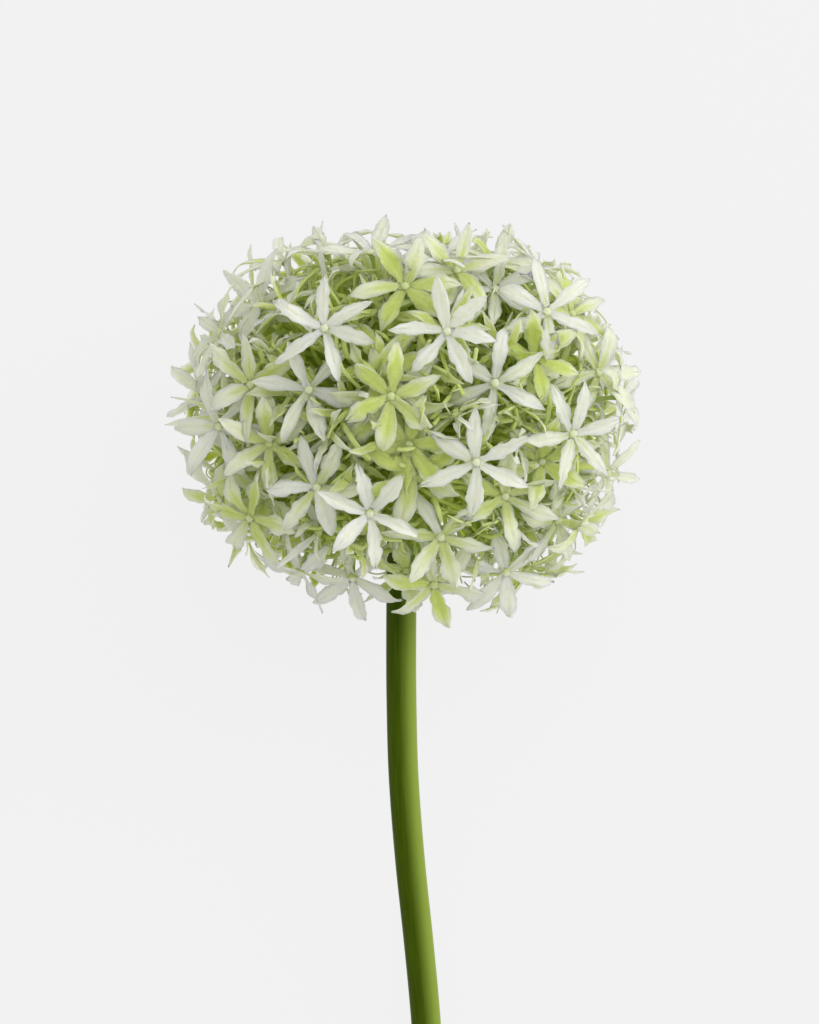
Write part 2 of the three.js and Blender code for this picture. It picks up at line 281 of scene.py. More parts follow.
def along_route(route, shares):
    """Points on a Catmull-Rom curve through the route, at shares of its knots, and its directions there."""
    padded = np.vstack([2 * route[0] - route[1], route, 2 * route[-1] - route[-2]])
    place = np.asarray(shares) * (len(route) - 1)
    knot = np.minimum(place.astype(int), len(route) - 2)
    t = (place - knot)[:, None]
    a, b, c, d = (padded[knot + k] for k in range(4))
    square, cube = 2 * a - 5 * b + 4 * c - d, 3 * b - a - 3 * c + d
    point = 0.5 * (2 * b + (c - a) * t + square * t**2 + cube * t**3)
    way = 0.5 * ((c - a) + 2 * square * t + 3 * cube * t**2)
    return point, way / np.linalg.norm(way, axis=1, keepdims=True)


def stalk_points():
    """Rings of a nearly round section, radius less small cosine ribs, set square to the route. Both ends are
    cut level, and their last ring is drawn in a little, which rounds the cut's rim."""
    shares = np.concatenate([[0.0], np.linspace(0, 1, STALK_STEPS - 2), [1.0]])
    middle, way = along_route(STALK_ROUTE, shares)
    way[[0, 1, -2, -1]] = (0, -1)
    angle = 2 * np.pi * np.arange(STALK_SIDES) / STALK_SIDES
    radius = STALK_RADIUS + (STALK_END_RADIUS - SKIN_GAP - STALK_RADIUS) * shares[:, None]
    radius = radius - RIB_HEIGHT * (1 - np.cos(STALK_RIBS * angle + 2 * shares[:, None]))
    radius[[0, -1]] -= END_ROUNDING
    middle[1] += way[1] * END_ROUNDING
    middle[-2] -= way[-2] * END_ROUNDING
    points = np.empty((len(shares), STALK_SIDES, 3))
    points[..., 0] = middle[:, None, 0] - way[:, None, 1] * np.cos(angle) * radius
    points[..., 1] = middle[:, None, 1] + way[:, None, 0] * np.cos(angle) * radius
    points[..., 2] = np.sin(angle) * radius
    return points, shares


# Waxy plant skin: deep olive green with faint lines along the stalk, with a soft sheen from the wax. Painted
# light: its right side, towards the lights, is painted a paler green.
skin, tree, shader = new_material("waxy_green_stalk_skin")
where = add_node(tree, "TexCoord", out="Object")
along, across, painted_light_side = (
    add_node(tree, "Attribute", out="Fac", attribute_name=mark) for mark in ("along", "across", "painted_light_side")
)
# The lines are about 0.4 mm apart, and run on for several centimetres.
round_and_down = add_node(tree, "CombineXYZ", {"X": across, "Y": along})
stretched = add_node(tree, "Mapping", {"Vector": round_and_down, "Scale": (9, 5, 1)})
lines = add_node(tree, "TexNoise", {"Vector": stretched, "Scale": 2.5, "Detail": 4.0})
clouds = add_node(tree, "TexNoise", {"Vector": where, "Scale": 70.0, "Detail": 2.0})
pale_lines = add_node(tree, "MapRange", {"Value": lines, "From Min": 0.42, "From Max": 0.72})
olive = add_node(tree, "Mix", {0: clouds, 6: "#334501", 7: "#3E5100"}, 2, data_type="RGBA")
lined = add_node(tree, "Mix", {0: pale_lines, 6: olive, 7: "#465803"}, 2, data_type="RGBA")
# Painted light: paler green on the stalk's right side, where the lights are.
painted_light_share = {"Value": painted_light_side, "From Min": -0.25, "From Max": 0.95}
painted_light_share = add_node(tree, "MapRange", painted_light_share, interpolation_type="SMOOTHSTEP")
skin_colour = add_node(tree, "Mix", {0: painted_light_share, 6: lined, 7: "#82963A"}, 2, data_type="RGBA")
line_bump = add_node(tree, "Bump", {"Height": lines, "Strength": 0.25, "Distance": 0.0001})
fill_inputs(shader, {"Base Color": skin_colour, "Roughness": 0.36, "IOR": 1.14, "Normal": line_bump})

points, shares = stalk_points()
faces, places = tube_faces(1, STALK_STEPS, STALK_SIDES)
round_share = np.tile(np.arange(STALK_SIDES), STALK_STEPS) / STALK_SIDES
# How far each point lies towards the stalk's right side, which sets its painted light.
painted_light_side_values = (points - points.mean(1, keepdims=True))[..., 0] / STALK_RADIUS
marks = {"along": np.repeat(shares, STALK_SIDES), "across": np.abs(2 * round_share - 1), "painted_light_side": painted_light_side_values}
stalk = add_piece("stalk_skin", points.reshape(-1, 3), faces, places, skin, marks)
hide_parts("stalk")

# ---- The places of the florets ----
# Each floret is a six-petalled star. They cover a squat globe round the stalk: the ones listed for its front,
# then an even spread of the rest, and last some smaller ones between and below them.
HEAD_RADIUS = 49.5
HEAD_HALF_HEIGHT = 41.0
TOP_SQUARENESS = 2.6  # of its side view, a superellipse: above the middle and below it
BOTTOM_SQUARENESS = 2.0
STAR_COUNT = 84
STAR_SPACING = 15.6
INNER_COUNT = 44
INNER_DEPTH = 9.0
INNER_SPACING = 12.0
INNER_SIZE = 0.8
STALK_CLEAR_ANGLE = 0.44  # none grows nearer to the stalk than this, in radians
LAYER_DEPTHS = (0.0, 3.0, 6.0)  # neighbours take turns at these depths
RIM_SLOPE = 0.5
NEIGHBOUR_REACH = 25.0
FUNNEL_RISE = 0.42
GOLDEN_ANGLE = math.pi * (3 - math.sqrt(5))
SEED = 7
# [right, up, turn in degrees, share turned to the front, slope of the petals at their foot, greenness]
FRONT_STARS = [
    (15.3, -8.7, 31, 0.95, 0.17, 0.12), (-8.1, -20, 42, 0.9, 0.18, 0.06),
    (-18.2, 20.9, 41, 0.85, 0.2, 0.1), (8.9, 20.2, 47, 0.8, 0.22, 0.08), (-3.5, 5.9, 20, 0.9, 0.2, 0.86),
    (19.5, 8.9, 27, 0.9, 0.18, 0.1), (31.1, 24.8, 39, 0.55, 0.14, 0.18),
    (-19.9, -14.2, -3, 0.7, 0.24, 0.36), (36.9, -2.3, 8, 0.6, 0.28, 0.18),
    (22.1, -33.1, 36, 0.55, 0.22, 0.12), (-0.4, 30.4, 4, 0.5, 0.36, 0.84),
    (-41.8, -0.7, 51, 0.55, 0.15, 0.24), (-34.6, 8.6, 20, 0.5, 0.3, 0.62),
    (-21.6, 7.4, 50, 0.7, 0.24, 0.12), (7.5, -25.2, 50, 0.5, 0.3, 0.42),
    (-32.7, 27.4, 18, 0.45, 0.26, 0.15), (42.9, 11.6, 6, 0.5, 0.32, 0.34),
    (33.7, -21.5, 33, 0.25, 0.24, 0.55), (21.8, -16.1, 30, 0.4, 0.3, 0.56),
    (-12.2, -34.2, 36, 0.5, 0.16, 0.1), (0, -32.6, 40, 0.3, 0.36, 0.8), (1.2, -11, 28, 0.5, 0.29, 0.9),
    (-31.8, -16, 28, 0.5, 0.29, 0.5), (-41.8, -16.6, 11, 0.25, 0.2, 0.55),
    (-23.5, -33, 1, 0.2, 0.05, 0.22), (19.6, 30, 21, 0.45, 0.26, 0.16), (19.5, 36.4, 7, 0.25, 0.24, 0.66),
    (33.6, 28.1, 32, 0.1, 0.29, 0.6), (-7.9, 38.1, 61, 0.15, 0.32, 0.3),
    (-28.1, 37.1, 29, 0.15, 0.42, 0.52), (-18, 38.3, 43, 0, 0.29, 0.35), (-41.6, 20.3, 5, 0, 0.16, 0.4),
    (-44.9, 6.8, 20, 0.2, 0.32, 0.25), (45, -10.8, 33, 0.4, 0.22, 0.3), (47.6, 6.3, -20, 0.05, 0.26, 0.4),
    (6, -35.8, 43, 0.4, 0.36, 0.76), (-35, -20.9, 6, 0.3, 0.32, 0.78), (7.7, 37.2, 52, 0.1, 0.31, 0.3),
    (36.9, 24.6, 45, 0.1, 0.2, 0.8), (27, -32.2, -11, 0.2, 0.35, 0.95), (39, -22.2, -28, 0, 0.4, 0.6),
]


def draw(star, what):
    """A number from 0 to 1 by an integer hash of the seed, the star's number and what it is drawn for."""
    h = np.asarray(star, np.uint64) + np.uint64(SEED)
    low_bits = np.uint64(0xFFFFFFFF)
    h = (h * np.uint64(374761393) + np.asarray(what, np.uint64) * np.uint64(668265263)) & low_bits
    h = ((h ^ (h >> np.uint64(13))) * np.uint64(1274126177)) & low_bits
    return (h ^ (h >> np.uint64(16))).astype(float) / 2**32


def spread(star, what, size):
    """A number from -size to size, drawn in the same way."""
    return (2 * draw(star, what) - 1) * size


def unit(vectors):
    """Vectors at length 1."""
    return vectors / np.linalg.norm(vectors, axis=-1, keepdims=True)


def squareness(height):
    """The power of the globe's superellipse at heights above or below its middle."""
    return np.where(height > 0, TOP_SQUARENESS, BOTTOM_SQUARENESS)


def outward(points):
    """The globe's outward directions: the slopes of (across/radius)^n + (height/half height)^n at points."""
    across = np.maximum(np.hypot(points[..., 0], points[..., 2]), 1e-6)
    power = squareness(points[..., 1]) - 1
    side = (across / HEAD_RADIUS) ** power / HEAD_RADIUS
    end = (np.abs(points[..., 1]) / HEAD_HALF_HEIGHT) ** power / HEAD_HALF_HEIGHT
    level = points / across[..., None] * side[..., None]
    return unit(np.stack([level[..., 0], np.sign(points[..., 1]) * end, level[..., 2]], -1))


def globe_reach(way):
    """How far the globe's surface lies from its middle along unit directions."""
    across = np.hypot(way[..., 0], way[..., 2]) / HEAD_RADIUS
    end = np.abs(way[..., 1]) / HEAD_HALF_HEIGHT
    power = squareness(way[..., 1])
    return (across**power + end**power) ** (-1 / power)


def even_ways(count, first_draw):
    """Directions a golden angle on from each other at even heights, each shifted a little, without those too
    near the stalk; and their numbers."""
    number = np.arange(count)
    polar = np.arccos(1 - (2 * number + 1) / count) + spread(number, first_draw, 0.05)
    turned = number * GOLDEN_ANGLE + spread(number, first_draw + 1, 0.12)
    way = np.stack([np.sin(polar) * np.sin(turned), np.cos(polar), np.sin(polar) * np.cos(turned)], -1)
    clear = np.arccos(-way[:, 1]) > STALK_CLEAR_ANGLE
    return way[clear], number[clear]


def globe_depth(right, up):
    """How far in front of its middle the globe's surface lies, at places seen from the front."""
    power = squareness(up)
    left = np.maximum(0, 1 - (np.abs(up) / HEAD_HALF_HEIGHT) ** power)
    return np.sqrt(np.maximum(0, (HEAD_RADIUS * left ** (1 / power)) ** 2 - right**2))


def apart_from(middles, middle):
    """How far a place is from the nearest of others."""
    return np.linalg.norm(np.array(middles) - middle, axis=1).min()


def place_stars():
    """Middles, facings, turns in degrees, petal slopes, sizes and greenness of all the stars."""
    front = np.array(FRONT_STARS)
    middles = list(np.stack([front[:, 0], front[:, 1], globe_depth(front[:, 0], front[:, 1])], -1))
    turns, to_front, rises, green = (list(front[:, k]) for k in (2, 3, 4, 5))
    way, number = even_ways(STAR_COUNT, 1)
    for middle, i in zip(way * globe_reach(way)[:, None], number):
        if apart_from(middles, middle) > STAR_SPACING:
            middles.append(middle)
            turns.append(float(spread(i, 3, 30)))
            to_front.append(0.0)
            rises.append(FUNNEL_RISE)
            green.append(float(draw(i, 4)) ** 1.6)
    middles = np.array(middles)
    layers = []
    for i, middle in enumerate(middles):
        near = np.maximum(0, NEIGHBOUR_REACH - np.linalg.norm(middles[:i] - middle, axis=1))
        crowding = [near[np.array(layers, int) == layer].sum() for layer in range(len(LAYER_DEPTHS))]
        layers.append(int(np.argmin(crowding)))
    out = outward(middles)
    share = np.array(to_front)[:, None]
    facings = unit(out * (1 - share) + np.array([0, 0, 1.0]) * share)
    depth = np.array(LAYER_DEPTHS)[layers]
    placed = np.arange(len(middles)) < len(front)
    back = np.stack([0 * depth, 0 * depth, depth / np.maximum(out[:, 2], RIM_SLOPE)], -1)
    middles = middles - np.where(placed[:, None], back, out * depth[:, None])
    sizes = [1.0] * len(middles)
    way, number = even_ways(INNER_COUNT, 91)
    middles, facings = list(middles), list(facings)
    for middle, i in zip(way * (globe_reach(way) - INNER_DEPTH)[:, None], number):
        if apart_from(middles, middle) > INNER_SPACING:
            middles.append(middle)
            facings.append(outward(middle))
            turns.append(float(spread(i, 93, 30)))
            rises.append(FUNNEL_RISE)
            sizes.append(INNER_SIZE)
            green.append(0.5 + 0.5 * float(draw(i, 94)))
    return tuple(np.array(part) for part in (middles, facings, turns, rises, sizes, green))


def sideways(facing):
    """Directions to the right of florets that face one way, and at right angles to both."""
    across = unit(np.array([1.0, 0, 0]) - facing * facing[:, :1])
    return across, np.cross(facing, across)


star_middle, star_facing, star_turn, star_rise, star_size, star_green = place_stars()
star_number = np.arange(len(star_middle))
star_across, star_along = sideways(star_facing)

# Florets between and just below the outer ones at the front:
# [right, up, depth, lean to the right, lean upwards, turn, slope, size, greenness]
BETWEEN_STARS = np.array(
    [
        (-4.5, 12.4, 7.5, -0.1, 0.3, 8, 0.15, 1.1, 0.92), (-3.9, 4.6, 7.5, 0, -0.2, 50, 0.15, 1.08, 0.6),
        (0.5, -4.6, 7.0, -0.2, -0.3, 12, 0.35, 1.0, 0.97), (28.5, 14.5, 8.0, 0.2, 0.1, 40, 0.5, 0.9, 0.95),
        (30, -8.5, 7.0, 0.2, -0.1, 22, 0.4, 0.95, 0.9), (-30.5, -4.5, 7.0, -0.2, -0.1, 33, 0.4, 0.95, 0.75),
        (11, 34, 3.5, 0.1, 0.5, 14, 0.3, 1.0, 0.5),
    ]
)
BETWEEN_FIRST_NUMBER = 700

# ---- The petals ----
# Six tepals to a floret: thin living sheets, widest at the middle and drawn out to a point. Each has a groove
# along its middle between two ridges and waves at its edges, and bends back a little at the tip. Made as
# closed shells, ring by ring.
PETALS = 6
PETAL_LENGTH = 12.0
PETAL_HALF_WIDTH = 1.4
FRONT_WIDTH = 0.42  # how much wider half a petal is on a floret that faces the front
GREEN_WIDTH = 0.42  # and on one that is wholly green too
PETAL_ROOT = 0.75  # distance of the petal's foot from the floret's axis
ROOT_STEP = 0.22  # every second petal stands this much higher on the axis
RISE_SPREAD = 0.16
EDGE_THICKNESS = 0.1
KEEL_THICKNESS = 0.36
BEND_FROM = 0.55  # where the tip starts to bend back, as a share of the length
BLUNT_FROM = 0.8
FULL_REACH = 0.6  # a petal's own reach ends this far inside the widest that the head grows
PETAL_ROWS = np.array([0, 0.07, 0.16, 0.26, 0.36, 0.46, 0.56, 0.66, 0.75, 0.83, 0.905, 0.965, 1.0])
FRONT_ROWS = np.array(
    [
        0, 0.06, 0.13, 0.2, 0.27, 0.34, 0.41, 0.48, 0.55, 0.61, 0.67, 0.73, 0.79, 0.84, 0.89, 0.93, 0.965,
        0.985, 1.0,
    ]
)
# Places across a petal's top and its underside, from edge to edge.
OPEN_SIDES = (
    np.array([-1, -0.8, -0.58, -0.38, -0.18, 0, 0.18, 0.38, 0.58, 0.8, 1]), np.array([0.62, 0.2, -0.2, -0.62])
)
# The petal's half width, as a share of its greatest, at shares of the way along.
WIDTH_AT = np.array([0, 0.1, 0.2, 0.3, 0.4, 0.5, 0.58, 0.66, 0.75, 0.83, 0.9, 0.95, 1.0])
WIDTH_SHARE = np.array([0.46, 0.5, 0.63, 0.79, 0.92, 0.99, 1.0, 0.94, 0.8, 0.6, 0.38, 0.2, 0.04])


def kept_short(petals):
    """Makes a petal that would reach past the greatest width or height smaller towards its root, until it
    fits."""
    placed = to_part(petals)
    root = placed[:, :1].mean(2, keepdims=True)
    above = (placed - root) / np.maximum(HELD_HIGH - FULL_REACH - root, 1)
    below = (root - placed) / np.maximum(root - HELD_LOW - FULL_REACH, 1)
    most = np.clip(np.maximum(above, below).max((1, 2, 3), keepdims=True), 1, 2)
    root = petals[:, :1].mean(2, keepdims=True)
    return root + (petals - root) / most


def petal_points(
    root, out, up, length, half_width, rise, curl, recurve, twist, bow, fold, wave, phase, belly, ragged,
    rows, sides,
):
    """Rings along petals, one petal for each row of the inputs.

    The middle line starts at the root with slope `rise`, its slope falls evenly by twice `curl`, and the
    outer half bends back by `recurve` more; `bow` sends it sideways as a parabola. The half width follows
    the table above, at the way along to the power 1 + `belly`; a ragged petal ends wider, in teeth, and has
    a notch in each edge. A ring's top is a shallow trough with a groove along the middle between two ridges
    and a raised edge, its underside lies a petal's thickness below, and the ring turns about the middle line
    by `twist` times the way along. The edges wander in and out and up and down by sines of the way along."""
    t = rows[None, :]
    bend = np.clip((t - BEND_FROM) / (1 - BEND_FROM), 0, 1)
    pitch = np.arctan(rise - 2 * curl * t) - recurve * bend * bend * (3 - 2 * bend)
    step = np.diff(rows, prepend=0)[None, :] * length
    middle_pitch = np.concatenate([pitch[:, :1], (pitch[:, 1:] + pitch[:, :-1]) / 2], 1)
    reach = np.cumsum(step * np.cos(middle_pitch), 1)[..., None]
    height = np.cumsum(step * np.sin(middle_pitch), 1)[..., None]
    blunt = ragged * np.clip((t - BLUNT_FROM) / (1 - BLUNT_FROM), 0, 1)
    width = half_width * (np.interp(t ** (1 + belly), WIDTH_AT, WIDTH_SHARE) + 0.3 * blunt)
    side = np.cross(up, out)[:, None]
    root, out, up = root[:, None], out[:, None], up[:, None]
    pitch, turn, drift = pitch[..., None], (twist * t)[..., None], (bow * length * t * t)[..., None]
    middle = root + out * reach + up * height + side * drift
    normal = up * np.cos(pitch) - out * np.sin(pitch)
    lateral = side * np.cos(turn) + normal * np.sin(turn)
    normal = normal * np.cos(turn) - side * np.sin(turn)

    s = np.concatenate(sides)
    t, fold, wave, phase, ragged, blunt = (part[..., None] for part in (t, fold, wave, phase, ragged, blunt))
    share, width = (width / half_width)[..., None], width[..., None]
    is_top = np.arange(len(s)) < len(sides[0])
    trough = fold * s**2 + 0.08 * np.exp(-(((np.abs(s) - 0.38) / 0.18) ** 2))
    trough = trough - 0.06 * np.exp(-((s / 0.15) ** 2)) + 0.06 * np.abs(s) ** 8
    thick = EDGE_THICKNESS + (KEEL_THICKNESS - EDGE_THICKNESS) * (1 - s**2)
    swing = 9.5 * t + phase + 1.9 * np.sign(s)
    edge = np.abs(s) ** 3 * share * wave
    lift = (trough - np.where(is_top, 0, thick)) * share + edge * 0.5 * np.sin(swing)
    lift = lift + 0.12 * t * np.sin(1.3 * swing + 4 * s + phase)
    aside = width * s + np.sign(s) * edge * (0.14 * np.sin(1.7 * swing + 1) + 0.12 * np.sin(3.1 * swing))
    notch_at = 0.62 + 0.22 * np.sin(3 * phase + 2.3 * np.sign(s))
    notch = ragged * np.exp(-(((t - notch_at) / 0.045) ** 2)) * np.abs(s) ** 4
    aside = aside - 0.42 * np.sign(s) * notch * width
    teeth = blunt * (0.55 * np.sin(5.5 * s + 5 * phase) - 0.5 * np.abs(s))
    middle, lateral, normal, out = (part[:, :, None] for part in (middle, lateral, normal, out))
    return middle + lateral * aside[..., None] + normal * lift[..., None] + out * teeth[..., None]


def petals_of(number, middle, facing, across, along, turn, size, slope, green, rows, sides, slim=1.0):
    """The petals of florets: their points, and each point's way along, way across, greenness and number."""
    k = np.arange(PETALS)[None, :]
    i = number[:, None]
    angle = np.radians(turn)[:, None] + k * (2 * np.pi / PETALS) + spread(i, 10 * k + 4, 0.12)
    length = PETAL_LENGTH * size[:, None] * (1 + spread(i, 10 * k + 5, 0.09))
    rise = slope[:, None] + spread(i, 10 * k + 6, RISE_SPREAD)
    curl = 0.14 + spread(i, 10 * k + 7, 0.14)
    twist = spread(i, 10 * k + 8, 0.7)
    recurve = 0.35 + spread(i, 10 * k + 9, 0.7)
    bow = spread(i, 10 * k + 3, 0.15)
    fold = 0.25 + spread(i, 10 * k + 2, 0.45)
    wave = 0.95 + spread(i, 220 + k, 0.6)
    phase = 6.3 * draw(i, 240 + k)
    belly = spread(i, 260 + k, 0.22)
    ragged = np.maximum(0, draw(i, 280 + k) - 0.5) * 1.6
    to_front = np.maximum(facing[:, 2:], 0)
    half_width = PETAL_HALF_WIDTH + (FRONT_WIDTH + GREEN_WIDTH * green[:, None]) * to_front
    half_width = half_width * size[:, None] ** 0.5 * slim * (1 + spread(i, 10 * k + 1, 0.14))
    tone = np.clip(green[:, None] + spread(i, 200 + k, 0.3) * np.minimum(1, 0.4 + green[:, None]), 0, 1)
    out = across[:, None] * np.cos(angle)[..., None] + along[:, None] * np.sin(angle)[..., None]
    up = np.broadcast_to(facing[:, None], out.shape)
    root = middle[:, None] + out * PETAL_ROOT + up * ((k % 2)[..., None] * ROOT_STEP - 0.1)
    shapes = (length, half_width, rise, curl, recurve, twist, bow, fold, wave, phase, belly, ragged)
    points = petal_points(
        *(part.reshape(-1, 3) for part in (root, out, up)),
        *(np.broadcast_to(part, angle.shape).reshape(-1, 1) for part in shapes), rows, sides,
    )
    shape = points.shape[:3]
    marks = {
        "along": np.broadcast_to(rows[None, :, None], shape),
        "across": np.broadcast_to(np.concatenate(sides), shape),
        "tone": np.broadcast_to(tone.reshape(-1, 1, 1), shape),
        "number": np.broadcast_to(np.arange(shape[0])[:, None, None] * 1.37 % 97, shape),
    }
    return kept_short(points), marks


# Petal tissue: white to the eye because of the air in it, pale green where the veins are, with a satin
# surface of long cells. Light goes part of the way through it, so that shaded petals stay bright.
petal_tissue, tree, shader = new_material("satin_petal_tissue")
along, across, tone, number, depth = (
    add_node(tree, "Attribute", out="Fac", attribute_name=mark)
    for mark in ("along", "across", "tone", "number", "depth")
)
where = add_node(tree, "TexCoord", out="Object")
spot = add_node(tree, "CombineXYZ", {0: across, 1: along, 2: number})
# The cells' rows are about 0.25 mm apart and several millimetres long.
rows_spot = add_node(tree, "Mapping", {"Vector": spot, "Scale": (7, 2.2, 1)})
cell_rows = add_node(tree, "TexNoise", {"Vector": rows_spot, "Scale": 1.0, "Detail": 3.0})
blotch_spot = add_node(tree, "Mapping", {"Vector": spot, "Scale": (1.3, 3.5, 1)})
blotches = add_node(tree, "TexNoise", {"Vector": blotch_spot, "Scale": 1.0, "Detail": 2.0})
# The green reaches from the foot up the petal, further on a greener one, and further deep in the head as
# painted shade: the green cast of the shaded inside. Its edge is uneven, fine streaks run out of it, and it
# stays off the petal's margins.
margin = add_node(tree, "Math", {0: across, 1: across}, operation="MULTIPLY")
reach = -0.46
for part, share in ((tone, 0.95), (blotches, 0.55), (depth, 0.22), (cell_rows, 0.6), (margin, -0.34)):
    reach = add_node(tree, "Math", {0: part, 1: share, 2: reach}, operation="MULTIPLY_ADD")
past = add_node(tree, "Math", {0: reach, 1: along}, operation="SUBTRACT")
past = {"Value": past, "From Min": 0.02, "From Max": 0.5}
green_share = add_node(tree, "MapRange", past, interpolation_type="SMOOTHSTEP")
strength = add_node(tree, "MapRange", {"Value": tone, "To Min": 0.5, "To Max": 1.0})
green_share = add_node(tree, "Math", {0: green_share, 1: strength}, operation="MULTIPLY")
# The keel shows as a faint green line.
off_keel = add_node(tree, "Math", {0: across}, operation="ABSOLUTE")
keel = add_node(tree, "MapRange", {"Value": off_keel, "From Min": 0.3, "From Max": 0.05, "To Max": 0.06})
green_share = add_node(tree, "Math", {0: green_share, 1: keel}, operation="ADD", use_clamp=True)
lime = add_node(tree, "Mix", {0: blotches, 6: "#AABB4A", 7: "#C5D388"}, 2, data_type="RGBA")
# Painted light: deep in the head the lime is painted lighter, to lift the shade there.
painted_light_depth = add_node(tree, "MapRange", {"Value": depth, "From Min": 0.3, "From Max": 0.9})
lime = add_node(tree, "Mix", {0: painted_light_depth, 6: lime, 7: "#D2E078"}, 2, data_type="RGBA")
white = add_node(tree, "Mix", {0: cell_rows, 6: "#D2D4C2", 7: "#E4E5D8"}, 2, data_type="RGBA")
# The white of a greener petal is creamier; deeper in the head it is creamier too, as painted shade: the green
# cast of the shaded inside.
cream_and_painted_shade = add_node(tree, "Math", {0: depth, 1: 0.7, 2: tone}, operation="MULTIPLY_ADD")
cream_and_painted_shade = add_node(tree, "MapRange", {"Value": cream_and_painted_shade, "From Min": 0.2, "To Max": 0.85})
white = add_node(tree, "Mix", {0: cream_and_painted_shade, 6: white, 7: "#D3DBA6"}, 2, data_type="RGBA")
colour = add_node(tree, "Mix", {0: green_share, 6: white, 7: lime}, 2, data_type="RGBA")
# Painted highlights: tiny pale glints about half a millimetre apart, painted into the colour.
painted_glint_noise = add_node(tree, "TexNoise", {"Vector": where, "Scale": 2200.0, "Detail": 1.0})
pale = add_node(tree, "MapRange", {"Value": painted_glint_noise, "From Min": 0.6, "From Max": 0.72, "To Max": 0.14})
colour = add_node(tree, "Mix", {0: pale, 6: colour, 7: "#F0F2E2"}, 2, data_type="RGBA")
# The very tip is dry and a little grey.
tip = add_node(tree, "MapRange", {"Value": along, "From Min": 0.955, "From Max": 1.0, "To Max": 0.55})
colour = add_node(tree, "Mix", {0: tip, 6: colour, 7: "#9C9D88"}, 2, data_type="RGBA")
# Soft crinkles about a millimetre and a half across.
crinkles = add_node(tree, "TexNoise", {"Vector": where, "Scale": 620.0, "Detail": 1.0})
bump = add_node(tree, "Bump", {"Height": crinkles, "Strength": 0.5, "Distance": 0.0005})
bump = add_node(tree, "Bump", {"Height": cell_rows, "Strength": 0.3, "Distance": 0.00012, "Normal": bump})
fill_inputs(
    shader,
    {
        "Base Color": colour, "Roughness": 0.46, "IOR": 1.24, "Normal": bump, "Subsurface Weight": 0.85,
        "Subsurface Radius": (1.0, 1.0, 0.6), "Subsurface Scale": 0.0014,
    },
)

DEEP = 12.0  # what lies this deep below the globe's surface is wholly shaded


def add_to_head(name, points, marks, material=petal_tissue):
    """A piece of the head, from the rings of its many petals, stalklets or pods. Each point is also marked
    with how deep it lies in the head."""
    count, rows, around = points.shape[:3]
    faces, places = tube_faces(count, rows, around)
    flat = {key: np.ascontiguousarray(values).ravel() for key, values in marks.items()}
    points = points.reshape(-1, 3)
    far = np.linalg.norm(points, axis=1)
    flat["depth"] = np.clip((globe_reach(points / far[:, None]) - far) / DEEP, 0, 1)
    piece = add_piece(name, points, faces, places, material, flat)
    return piece


star_slope = star_rise + spread(star_number, 72, RISE_SPREAD)
stars = (
    star_number, star_middle, star_facing, star_across, star_along, star_turn, star_size, star_slope,
    star_green,
)
petal_lines = []
for name, chosen, rows in (
    ("front_petals", star_number < len(FRONT_STARS), FRONT_ROWS),
    ("petals", star_number >= len(FRONT_STARS), PETAL_ROWS),
):
    points, marks = petals_of(*(part[chosen] for part in stars), rows, OPEN_SIDES)
    petals = add_to_head(name, points, marks)
    petal_lines.append(points.mean(2).reshape(-1, 3))
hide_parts("umbel")
petal_lines = np.concatenate(petal_lines)

right, up, depth, lean_right, lean_up, turn, slope, size, green = BETWEEN_STARS.T
between_number = np.arange(len(BETWEEN_STARS)) + BETWEEN_FIRST_NUMBER
between_middle = np.stack([right, up, globe_depth(right, up) - depth], -1)
between_facing = unit(np.stack([lean_right, lean_up, np.ones(len(right))], -1))
between = between_middle, between_facing, *sideways(between_facing)
points, marks = petals_of(between_number, *between, turn, size, slope, green, PETAL_ROWS, OPEN_SIDES)
add_to_head("between_petals", points, marks)

# ---- The inner florets ----
# Younger florets inside the head, in three layers that are greener and more closed the deeper they lie. They
# have the same petals as the open ones, narrower, and fill the head, so that one can't see through.
YOUNG_ROWS = np.array([0, 0.1, 0.24, 0.4, 0.56, 0.72, 0.86, 0.95, 1.0])
YOUNG_SIDES = (np.array([-1, -0.5, 0, 0.5, 1]), np.array([0.5, -0.5]))
YOUNG_FIRST_NUMBER = 1000
YOUNG_CLEAR_HEIGHT = -0.72  # none grows lower on the globe than this, as a share of its radius,
YOUNG_CLEAR_REACH = 6.0  # nor this near the middle of an open floret,
YOUNG_CLEAR_OF_PETALS = 2.2  # nor this near an open petal's middle line
PETALS_APART = 1.1  # a young petal that would come nearer to an open one's middle line is left out
OUTER_DEPTH = 4.0  # the layers less deep than this
FRONT_SINK = 4.5  # lie this much deeper at the front, behind the open florets there
SIDE_PALENESS = 0.35  # how much less green those are that face to the side
# name, count, first draw, depth and range, lean, slope and range, size, greenness and range, width
YOUNG_LAYERS = (
    ("small_petals", 90, 901, 1.6, 2.6, 1.0, 0.5, 0.45, 0.8, 0.5, 0.45, 0.6),
    ("second_petals", 165, 301, 6, 4.5, 0.9, 0.6, 0.45, 0.82, 1.05, 0.45, 0.58),
    ("inner_petals", 100, 341, 9, 6, 0.9, 0.8, 0.6, 0.85, 1.15, 0.25, 0.5),
)


def nearest_to(others, points):
    """How far each point is from the nearest of the others."""
    found = KDTree(len(others))
    for number, place in enumerate(others):
        found.insert(place, number)
    found.balance()
    return np.array([found.find(place)[2] for place in points])


